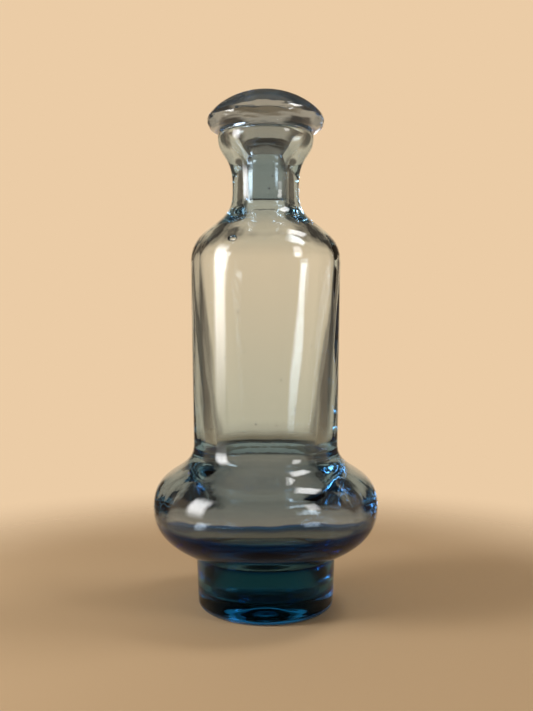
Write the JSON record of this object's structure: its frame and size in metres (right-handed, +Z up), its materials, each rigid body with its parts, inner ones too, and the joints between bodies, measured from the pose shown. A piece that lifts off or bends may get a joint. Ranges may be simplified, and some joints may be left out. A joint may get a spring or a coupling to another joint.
{
  "type": "glass carafe",
  "caption": "Smoky blue blown-glass carafe with a drum foot, wide ring bulge, straight body and cup mouth, closed by a lift-out mushroom stopper with a barrel plug.",
  "frame": {"origin": "centre of the flat ring under the foot, at table height", "axes": "+Z up along the axis of the bottle and stopper; X and Y level"},
  "size_m": [0.114, 0.114, 0.2614],
  "materials": {
    "bottle_glass": "fire-polished, smoky blue, clear",
    "stopper_glass": "polished, smoky grey, clear"
  },
  "bodies": {
    "bottle": {"bottle": "bottle_glass"},
    "stopper": {"stopper": "stopper_glass"}
  },
  "joints": [
    {"name": "stopper_lift", "type": "slide", "parent": "bottle", "child": "stopper", "axis": [0, 0, 1], "range_m": [0, 0.06]}
  ]
}
